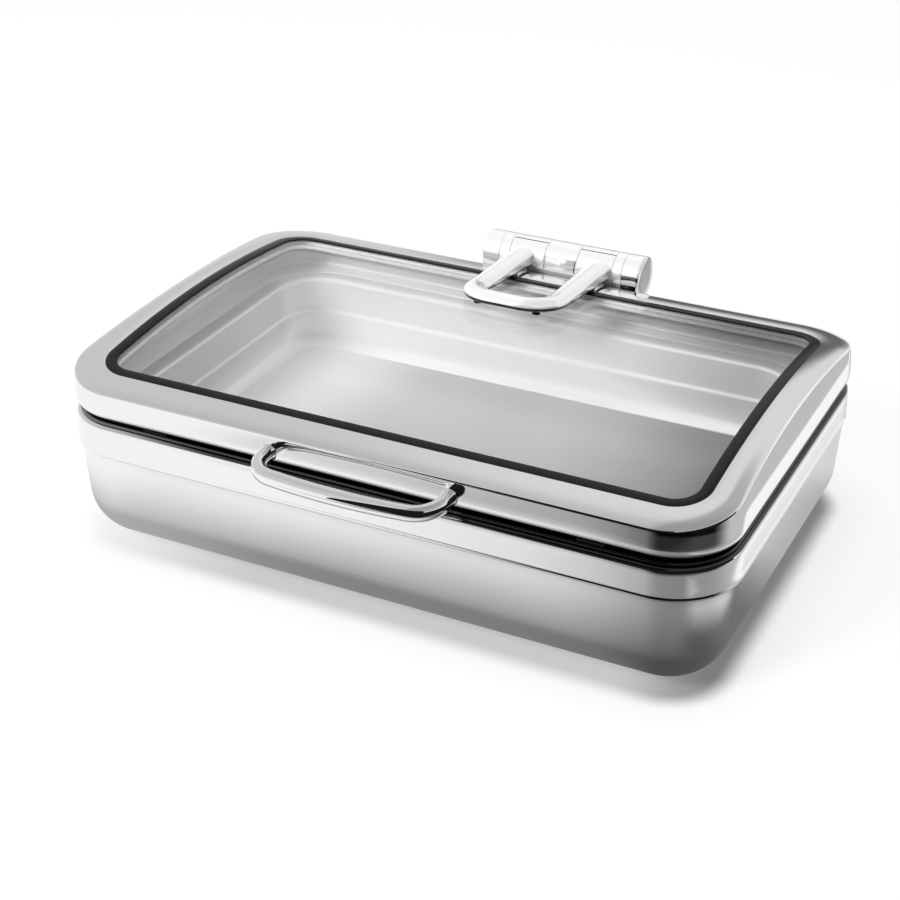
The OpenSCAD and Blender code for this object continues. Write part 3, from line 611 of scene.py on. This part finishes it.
def makePane():
    reach, r = pane["halfY"], pane["radius"]
    turns = [math.pi / 2 * i / pane["cornerRows"] for i in range(pane["cornerRows"], 0, -1)]
    levels = [reach - r + r * math.sin(turn) for turn in turns]
    middle = pane["rows"] - 2 * len(levels)
    rows = [-y for y in levels]
    rows += [-(reach - r) + 2 * (reach - r) * i / middle for i in range(middle + 1)]
    rows += levels[::-1]
    clearSelection()
    bpy.ops.mesh.primitive_grid_add(x_subdivisions=1, y_subdivisions=len(rows) - 1, size=2)
    sheet = bpy.context.active_object
    sheet.name = "lidPane"
    sheet.data.name = "lidPane"
    for vert in sheet.data.vertices:
        row = round((vert.co.y + 1) / 2 * (len(rows) - 1))
        y = rows[row]
        past = max(0, abs(y) - (reach - r))
        half = pane["halfX"] - r + math.sqrt(max(0, r * r - past * past))
        vert.co = Vector((math.copysign(half, vert.co.x), y, archZ(y, pane["depth"]))) / 1000
    addModifier(sheet, "SOLIDIFY", thickness=pane["thick"] / 1000, offset=-1)
    smoothBy(sheet, 40)
    dress(sheet, clearGlass)
    settle(sheet, "lid", "clear_glass", "lid_glass")


# Front handle: a round bar bent to a bow, its ends cut to the lid's side
handle = {"half": 78.5, "out": 34, "bar": 13, "bend": 22, "bow": 6.5, "tilt": 4, "rootZ": 135, "sides": 32,
          "bendSteps": 12, "bowSteps": 20}


def makeHandle():
    bow = math.radians(handle["bow"])
    bend, half = handle["bend"], handle["half"]
    bowR = (half - bend * (1 - math.sin(bow))) / math.sin(bow)
    leg = handle["out"] - bowR * (1 - math.cos(bow)) - bend * math.cos(bow)
    tilt = math.radians(handle["tilt"])
    r = handle["bar"] / 2

    def turnTo(a):
        return math.cos(math.radians(a)), math.sin(math.radians(a))

    bent = []
    for i in range(handle["bendSteps"] + 1):
        a = 180 + (90 - handle["bow"]) * i / handle["bendSteps"]
        c = turnTo(a)
        bent.append((bend - half + bend * c[0], -leg + bend * c[1], a))
    spine = list(bent)
    for i in range(1, handle["bowSteps"]):
        a = 270 + handle["bow"] * (2 * i / handle["bowSteps"] - 1)
        c = turnTo(a)
        spine.append((bowR * c[0], bowR - handle["out"] + bowR * c[1], a))
    spine += [(-x, y, 540 - a) for x, y, a in reversed(bent)]

    def world(x, y, z):
        return (x, -base["halfY"] + y * math.cos(tilt) - z * math.sin(tilt),
                handle["rootZ"] + y * math.sin(tilt) + z * math.cos(tilt))

    def ringOn(x, y, a, size):
        c = turnTo(a)
        ring = []
        for j in range(handle["sides"]):
            t = 2 * math.pi * j / handle["sides"]
            ring.append((x + size * math.cos(t) * c[0], y + size * math.cos(t) * c[1], size * math.sin(t)))
        return ring

    # Slides a point along the bar's axis onto the lid's side
    def toSide(point):
        def outside(y):
            spot = world(point[0], y, point[2])
            return spot[1] < sideIn(spot[2]) - base["halfY"]

        return (point[0], halve(-20.0, 12.0, outside), point[2])

    def root(x, a, size, lift):
        return [(p[0], p[1] - lift, p[2]) for p in (toSide(q) for q in ringOn(x, 0, a, size))]

    flare = [(r + 0.9, -0.2), (r + 0.3, 0.5), (r, 1.5)]
    rings = [root(-half, 180, size, lift) for size, lift in flare]
    rings += [ringOn(x, y, a, r) for x, y, a in spine]
    rings += [root(half, 360, size, lift) for size, lift in reversed(flare)]
    rings = [[world(*p) for p in ring] for ring in rings]
    bar = loft("frontHandle", rings, "both")
    smoothBy(bar, 50)
    dress(bar, chrome)
    settle(bar, "lid", "hinge_chrome", "front_handle")


# Barrel of the hinge: fixed knuckles, end caps, and the turning collars with the loop
barrel = {"y": 214, "z": 153.5, "radius": 20, "wall": 9, "edge": 0.4, "capEdge": 1.2, "centre": 15.8,
          "collarIn": 16.1, "collarOut": 51.1, "knuckleIn": 51.4, "knuckleOut": 60.9, "capOut": 77.9,
          "shelf": 132.3, "saddle": 28, "footDown": 8, "footEdge": 0.5, "sides": 96,
          "slitAt": 106, "slitW": 3, "slitDeep": 3, "padHalf": 14.5, "padTurn": (147, 178), "padOut": 0.4,
          "grooveW": 0.7, "grooveTurn": 2, "grooveOut": 0.05}


# Distance of a spot from the barrel's axis
def fromAxis(spot):
    return math.hypot(spot.y - barrel["y"], spot.z - barrel["z"])


def makeTube(name, start, end, edgeStart, edgeEnd, slit=False):
    r = barrel["radius"]
    bore = r - barrel["wall"]
    profile = [(start, bore), (start, r - edgeStart), (start + edgeStart * 0.3, r - edgeStart * 0.3)]
    profile += [(start + edgeStart, r), (start + edgeStart * 2, r)]
    profile += [(end - edgeEnd * 2, r), (end - edgeEnd, r)]
    profile += [(end - edgeEnd * 0.3, r - edgeEnd * 0.3), (end, r - edgeEnd), (end, bore)]
    turns = [(360 * i / barrel["sides"], 0) for i in range(barrel["sides"])]
    if slit:
        middle, half, deep = barrel["slitAt"], barrel["slitW"] / 2, barrel["slitDeep"]
        turns = [turn for turn in turns if abs(turn[0] - middle) > half + 0.5]
        steps = ((-half, 0), (-half * 0.7, deep), (half * 0.7, deep), (half, 0))
        turns += [(middle + step, down) for step, down in steps]
        turns.sort()
    rings = []
    for x, reach in profile:
        ring = []
        for turn, down in turns:
            here = reach - (down if reach > bore else 0)
            ring.append((x, barrel["y"] + here * math.cos(math.radians(turn)),
                         barrel["z"] + here * math.sin(math.radians(turn))))
        rings.append(ring)
    return loft(name, rings, "both")


def join(first, *others):
    clearSelection()
    for piece in others:
        piece.select_set(True)
    first.select_set(True)
    bpy.context.view_layer.objects.active = first
    bpy.ops.object.join()
    return first


# A block with eased edges
def makeBlock(name, low, high, edge):
    clearSelection()
    bpy.ops.mesh.primitive_cube_add(size=1)
    block = bpy.context.active_object
    block.name = name
    block.data.name = name
    for vert in block.data.vertices:
        vert.co = Vector([(a if c < 0 else b) / 1000 for a, b, c in zip(low, high, vert.co)])
    addModifier(block, "BEVEL", width=edge / 1000, segments=3, limit_method="NONE")
    dress(block, pearl)
    return block


# The plain pad on the middle knuckle: a thin curved patch in a groove; the groove and the pad's sides take
# the dark gap finish, a painted shade
def makePad():
    half, r = barrel["padHalf"], barrel["radius"]
    inner, outer, groove = r - 1, r + barrel["padOut"], r + barrel["grooveOut"]
    side, spread = half + barrel["grooveW"], barrel["grooveTurn"]
    first, last = barrel["padTurn"]
    axis = (barrel["y"], barrel["z"])
    rings = []
    stations = ((-side, groove, spread), (-half, outer, 0), (half, outer, 0), (side, groove, spread))
    for x, reach, grow in stations:
        arc = arcPoints(axis, reach, first - grow, last + grow, 10)
        arc += arcPoints(axis, inner, last + grow, first - grow, 10)
        rings.append([(x, y, z) for y, z in arc])
    pad = loft("knuckleCentrePad", rings, "both")
    dress(pad, pearl)
    dressSome(pad, gapShade, lambda spot, way: abs(spot.x) > half - 0.1 or fromAxis(spot) < outer - 0.3)
    return pad


def makeKnuckle(name, start, end, node, withPad=False):
    half = barrel["saddle"] / 2
    tube = makeTube(name, start, end, barrel["edge"], barrel["edge"])
    dress(tube, pearl)
    low = (start, barrel["y"] - half, barrel["shelf"])
    high = (end, barrel["y"] + half, barrel["z"] - barrel["footDown"])
    parts = [makeBlock(name + "Foot", low, high, barrel["footEdge"])]
    if withPad:
        parts.append(makePad())
    tube = join(tube, *parts)
    smoothBy(tube, 40)
    settle(tube, "base", "hinge_chrome", node)


# Pale on top, mirror-bright at its end and below; the pale satin on top and the mirror below, chosen by the
# faces' direction, are painted light and shade
def makeCap(name, start, end, edges, node):
    cap = makeTube(name, start, end, *edges)
    smoothBy(cap, 40)
    dress(cap, pearl)
    dressSome(cap, chrome, lambda spot, way: abs(way.x) > 0.9 or way.z < 0.3)
    settle(cap, "base", "hinge_chrome", node)


def makeKnuckles():
    near, far, end = barrel["knuckleIn"], barrel["knuckleOut"], barrel["capOut"]
    edge, capEdge, half = barrel["edge"], barrel["capEdge"], barrel["centre"]
    makeKnuckle("knuckleLeft", -far, -near, "hinge_knuckle_left")
    makeKnuckle("knuckleRight", near, far, "hinge_knuckle_right")
    makeCap("capLeft", -end, -far, (capEdge, edge), "end_cap_left")
    makeCap("capRight", far, end, (edge, capEdge), "end_cap_right")
    makeKnuckle("knuckleCentre", -half, half, "hinge_centre_knuckle", True)


# The loop: a domed bar that leaves one collar, goes round over the glass and comes back to the other
loop = {"half": 48.5, "leg": 20.5, "thick": 10, "crown": 14, "front": -61.97, "corner": 34, "mid": 128.5,
        "hover": 1.5, "edge": 1.2, "rise": -27, "meet": 50, "flare": 0.6, "flat": 3.0, "shadow": 3.0,
        "legSteps": 24, "bendSteps": 16, "frontSteps": 6, "domeSteps": 14}


def makeLoop():
    lean = math.asin(loop["mid"] / lid["archR"])
    lift = lid["archR"] + loop["hover"]
    archCentre = lid["crown"] - lid["archR"]

    def world(x, y, z):
        return (x, y * math.cos(lean) + (lift + z) * math.sin(lean),
                archCentre - y * math.sin(lean) + (lift + z) * math.cos(lean))

    axisY = barrel["y"] * math.cos(lean) - (barrel["z"] - archCentre) * math.sin(lean)
    axisZ = barrel["y"] * math.sin(lean) + (barrel["z"] - archCentre) * math.cos(lean) - lift
    meet = math.radians(loop["meet"])
    endY = axisY - barrel["radius"] * math.sin(meet)
    endZ = axisZ + barrel["radius"] * math.cos(meet)
    startY = loop["rise"]

    # Height of the bar's top along a leg: it rises slowly, then straight to the barrel
    def topAt(y):
        t = max(0, (y - startY) / (endY - startY))
        return loop["thick"] + (endZ - loop["thick"]) * t ** 1.3

    halfLeg, edge = loop["leg"] / 2, loop["edge"]
    dome = loop["crown"] - math.sqrt(loop["crown"] ** 2 - halfLeg ** 2)

    # Flat below, domed above; near the barrel the dome dies away and the leg widens
    def section(top, near):
        half = halfLeg + loop["flare"] * near * near
        drop = dome + (loop["flat"] - dome) * near
        shoulder = top - drop
        points = [(-half, shoulder - 2 * edge), (-half, 2 * edge), (-half + 0.1 * edge, edge),
                  (-half + edge, 0.1 * edge), (-half + 2 * edge, 0), (0, 0), (half - 2 * edge, 0),
                  (half - edge, 0.1 * edge), (half - 0.1 * edge, edge), (half, 2 * edge),
                  (half, shoulder - 2 * edge), (half - 0.05, shoulder - edge)]
        for i in range(loop["domeSteps"] + 1):
            across = 1 - 2 * i / loop["domeSteps"]
            points.append((across * (half - 0.5 * edge), top - drop * across * across))
        points.append((-half + 0.05, shoulder - edge))
        return points

    centre = loop["half"] - halfLeg
    bend = loop["corner"] - halfLeg
    legFrom = loop["front"] + loop["corner"]
    spine = []
    for i in range(loop["legSteps"] + 1):
        y = axisY + (legFrom - axisY) * i / loop["legSteps"]
        near = min(1, max(0, (y - startY) / (endY - startY)))
        spine.append((centre, y, 0.0, topAt(y), near * near * (3 - 2 * near)))
    for i in range(1, loop["bendSteps"] + 1):
        a = math.pi / 2 * i / loop["bendSteps"]
        spine.append((centre - bend + bend * math.cos(a), legFrom - bend * math.sin(a), a, loop["thick"], 0))
    frontX, frontY = centre - bend, loop["front"] + halfLeg
    for i in range(1, loop["frontSteps"] + 1):
        spine.append((frontX - frontX * i / loop["frontSteps"], frontY, math.pi / 2, loop["thick"], 0))
    spine += [(-x, y, math.pi - a, top, near) for x, y, a, top, near in reversed(spine[:-1])]
    rings = []
    for x, y, a, top, near in spine:
        rings.append([world(x + s * math.cos(a), y - s * math.sin(a), z) for s, z in section(top, near)])
    bow = loft("hingeLoop", rings, "both")
    dress(bow, pearl)

    # The bar's underside and lowest sides take the dark gap finish: painted shade under the bar
    def below(spot, way):
        return spot.y * math.sin(lean) + (spot.z - archCentre) * math.cos(lean) - lift < loop["shadow"]

    # The floor of a collar's slit, and not its ends, takes the dark gap finish: painted shade in the slit
    def inSlit(spot, way):
        past = min(abs(spot.x) - barrel["collarIn"], barrel["collarOut"] - abs(spot.x))
        return fromAxis(spot) < barrel["radius"] - 0.4 and past > 0.5

    dressSome(bow, gapShade, below)
    near, far, edge = barrel["collarIn"], barrel["collarOut"], barrel["edge"]
    right = makeTube("collarRight", near, far, edge, edge, True)
    left = makeTube("collarLeft", -far, -near, edge, edge, True)
    for collar in (right, left):
        dress(collar, pearl)
        dressSome(collar, gapShade, inSlit)
    bow = join(bow, right, left)
    smoothBy(bow, 40)
    settle(bow, "lid", "hinge_chrome", "hinge_loop")


makeBase()
makeRim()
makePan()
print("base and pan modelled")
makeLidFrame()
makeSeal()
makePane()
makeHandle()
print("lid modelled")
makeKnuckles()
makeLoop()
print("hinge modelled")


# Studio: a pale table, light from above, pale walls; in front a dark flag beside a white card
studio = {"floorSize": 14, "floorZ": -0.0004, "paper": 0.9, "share": 0.85, "top": 26, "key": 88,
          "corner": (0.235, -0.134), "dark": (0.64, -0.77)}


def makePlane(name, corners):
    clearSelection()
    bpy.ops.mesh.primitive_plane_add(size=2)
    card = bpy.context.active_object
    card.name = name
    card.data.name = name
    bpy.ops.object.mode_set(mode="EDIT")
    shape = bmesh.from_edit_mesh(card.data)
    for vert in shape.verts:
        vert.co = Vector(corners[(vert.co.x > 0) + 2 * (vert.co.y > 0)])
    bmesh.update_edit_mesh(card.data)
    bpy.ops.object.mode_set(mode="OBJECT")
    return card


# Distance of a floor point from the dish, as wires
def awayFromDish(look, x, y):
    r = base["radius"] / 1000
    acrossX = look.maths("MAXIMUM", look.maths("ABSOLUTE", x, 0) - (base["halfX"] / 1000 - r), 0)
    acrossY = look.maths("MAXIMUM", look.maths("ABSOLUTE", y, 0) - (base["halfY"] / 1000 - r), 0)
    return (acrossX * acrossX + acrossY * acrossY) ** 0.5 - r


# Mirrors see the table white at the left, greyer to the right, darker near the dish as a painted shadow, and
# dark further off; the camera sees it white with a painted contact shadow
def makeFloor():
    half, z = studio["floorSize"] / 2, studio["floorZ"]
    floor = makePlane("studioFloor", [(-half, -half, z), (half, -half, z), (-half, half, z), (half, half, z)])
    look = Look(bpy.data.materials.new("studioPaper"))
    glossy = look.node("ShaderNodeLightPath", output="Is Glossy Ray")
    seen = look.node("ShaderNodeLightPath", output="Is Camera Ray")
    through = look.node("ShaderNodeLightPath", output="Is Transmission Ray")
    here = look.place()
    x, y = look.axis(here, "X"), look.axis(here, "Y")
    away = awayFromDish(look, x, y)
    # In front: white at the left, greyer to the right, a painted shadow near the dish, and dark further off
    near = look.fade(away, 0.0, 0.105)
    falling = 1 - look.fade(x, -0.2, 0.35) * 0.35 - look.fade(x, 0.12, 0.26) * 0.2
    grey = look.fade(x, -0.34, -0.2) * 0.26 + look.fade(x, -0.24, 0.12) * 0.24
    shade = 0.28 + look.fade(x, -0.05, -0.3) * 0.18
    front = falling * (near * (1 - shade) + shade) * (1 - look.fade(y, -0.36, -0.43) * grey)
    front = front * (1 - look.fade(y, -0.54, -0.66) * look.fade(x, -0.26, -0.14))
    # At the right: grey beside the dish as a painted shadow, and white further off
    dull = look.fade(y, 0.06, -0.05)
    beside = look.fade(away - dull * 0.05, 0.0, 0.05) * (0.32 + dull * 0.43) + 0.68 - dull * 0.43
    side = beside * (0.7 + look.fade(x, 0.315, 0.36) * 0.3 - look.fade(x, 0.385, 0.425) * 0.44)
    side = side * (1 - look.fade(y, 0.4, 0.46) * look.fade(x, 0.34, 0.28) * 0.5)
    # Towards the near corner: painted dark for the mirrors
    outX, outY = x - studio["corner"][0], y - studio["corner"][1]
    span = (outX * outX + outY * outY) ** 0.5
    facing = (outX * studio["dark"][0] + outY * studio["dark"][1]) / (span + 0.001)
    far = look.fade(span, 0.25, 0.283)
    gloom = look.fade(facing, 0.05, 0.95) * (1 - far) * 0.44
    gloom = gloom + look.fade(facing, 0.34, 0.8) * far * (0.9 + look.fade(span, 0.335, 0.365) * 0.09)
    tone = look.blend(look.fade(outX + outY, -0.05, 0.05) * look.fade(x, 0.1, 0.25), front, side)
    tone = look.node("ShaderNodeRGBToBW", None, {0: tone}) * (1 - gloom)
    # Seen from the camera: a painted contact shadow round the dish, faint at the far left and stronger to the
    # right
    close = 0.05 + look.fade(x, -0.3, -0.1) * 0.32 + look.fade(x, 0.2, 0.28) * 0.35
    contact = 1 - look.fade(away, 0.006, -0.016) * close - look.fade(away, 0.05, -0.02) * 0.1
    paper = look.node("ShaderNodeBsdfDiffuse", None, {"Color": (studio["paper"],) * 3})
    light = look.blend(glossy, contact, tone)
    glow = look.node("ShaderNodeEmission", None, {"Color": light, "Strength": 1.0})
    share = (seen + through) * studio["share"] + glossy
    look.surface(look.node("ShaderNodeMixShader", None, {0: share, 1: paper, 2: glow}))
    dress(floor, look.owner)


# Cards that stand round the dish and are seen only in mirrors
cards = {"y": -1.2, "top": 0.6, "start": -3, "left": -0.5, "turn": 0.2, "end": (1.35, 0.45),
         "nearY": -0.5, "nearX": (-0.13, 0.35), "nearZ": (0.12, 0.75), "white": 0.94, "black": 0.01}


def makeCard(name, corners, grey):
    card = makePlane(name, corners)
    look = Look(bpy.data.materials.new(name + "Cloth"))
    weave = look.noise(look.place(), 40, 2)
    tone = look.blend(weave, (grey, grey, grey), (grey * 0.96,) * 3)
    look.surface(look.node("ShaderNodeEmission", None, {"Color": tone, "Strength": 1.0}))
    dress(card, look.owner)
    card.visible_camera = False
    card.visible_diffuse = False
    card.visible_shadow = False


# Corners of an upright card between two spots and two heights
def upright(first, last, low, high):
    return [(*first, low), (*last, low), (*first, high), (*last, high)]


def makeCards():
    top, black = cards["top"], cards["black"]
    start, left, turn = ((cards[key], cards["y"]) for key in ("start", "left", "turn"))
    nearLeft, nearRight = ((x, cards["nearY"]) for x in cards["nearX"])
    makeCard("whiteCard", upright(start, left, 0, top), cards["white"])
    makeCard("frontFlag", upright(left, turn, 0, top), black)
    makeCard("nearFlag", upright(nearLeft, nearRight, *cards["nearZ"]), black)
    makeCard("sideFlag", upright(turn, cards["end"], 0, top), black)


def makeWorld():
    world = bpy.data.worlds.new("studioWorld")
    bpy.context.scene.world = world
    look = Look(world)
    way = look.node("ShaderNodeTexCoord", output="Generated")
    x, z = look.axis(way, "X"), look.axis(way, "Z")
    # Near the horizon: grey behind, white at the right
    low = 0.72 - look.fade(x, -0.46, -0.34) * 0.58 + look.fade(x, -0.2, 0.2) * 0.86
    stops = [(0.2, 0.66), (0.35, 0.62), (0.68, 0.62), (0.8, 0.58), (0.95, 0.45)]
    high = look.node("ShaderNodeValToRGB", {"stops": stops}, {0: z})
    high = look.node("ShaderNodeRGBToBW", None, {0: high}) * (1 + look.fade(x, -0.48, -0.32) * 0.2)
    high = high * (1 - look.fade(x, -0.3, -0.2) * look.fade(z, 0.6, 0.72) * 0.36)
    tone = look.blend(look.fade(z, 0.16, 0.34), low, high)
    seen = look.node("ShaderNodeLightPath", output="Is Camera Ray")
    plain = look.blend(seen, tone, (1, 1, 1))
    look.surface(look.node("ShaderNodeBackground", None, {"Color": plain, "Strength": 1.0}))


def addLamp(name, place, target, size, power):
    clearSelection()
    bpy.ops.object.light_add(type="AREA", location=place)
    lamp = bpy.context.active_object
    lamp.name = name
    lamp.data.shape = "RECTANGLE"
    lamp.data.size, lamp.data.size_y = size
    lamp.data.energy = power
    lamp.visible_glossy = False
    lamp.rotation_euler = (Vector(target) - Vector(place)).to_track_quat("-Z", "Y").to_euler()


# Camera, as fitted to the photograph
view = {"turn": 26.03, "rise": 25.64, "aimZ": 0.1675, "away": 1.5709, "sensor": 36, "lens": 75.16,
        "shiftX": -0.0182, "shiftY": -0.1235}


def makeCamera():
    turn, rise = math.radians(view["turn"]), math.radians(view["rise"])
    back = Vector((math.sin(turn) * math.cos(rise), -math.cos(turn) * math.cos(rise), math.sin(rise)))
    aim = Vector((0, 0, view["aimZ"]))
    clearSelection()
    bpy.ops.object.camera_add(location=aim + back * view["away"])
    camera = bpy.context.active_object
    camera.rotation_euler = back.to_track_quat("Z", "Y").to_euler()
    camera.data.sensor_width = view["sensor"]
    camera.data.lens = view["lens"]
    camera.data.shift_x = view["shiftX"]
    camera.data.shift_y = view["shiftY"]
    bpy.context.scene.camera = camera


makeFloor()
makeCards()
makeWorld()
addLamp("topSoftbox", place=(0, 0.4, 2.4), target=(0, 0.2, 0), size=(2.6, 2.2), power=studio["top"])
addLamp("keyLight", place=(-1.0, -2.0, 1.6), target=(0, 0.1, 0.1), size=(0.9, 0.9), power=studio["key"])
makeCamera()
bpy.context.scene.view_settings.view_transform = "Standard"
print("studio set")
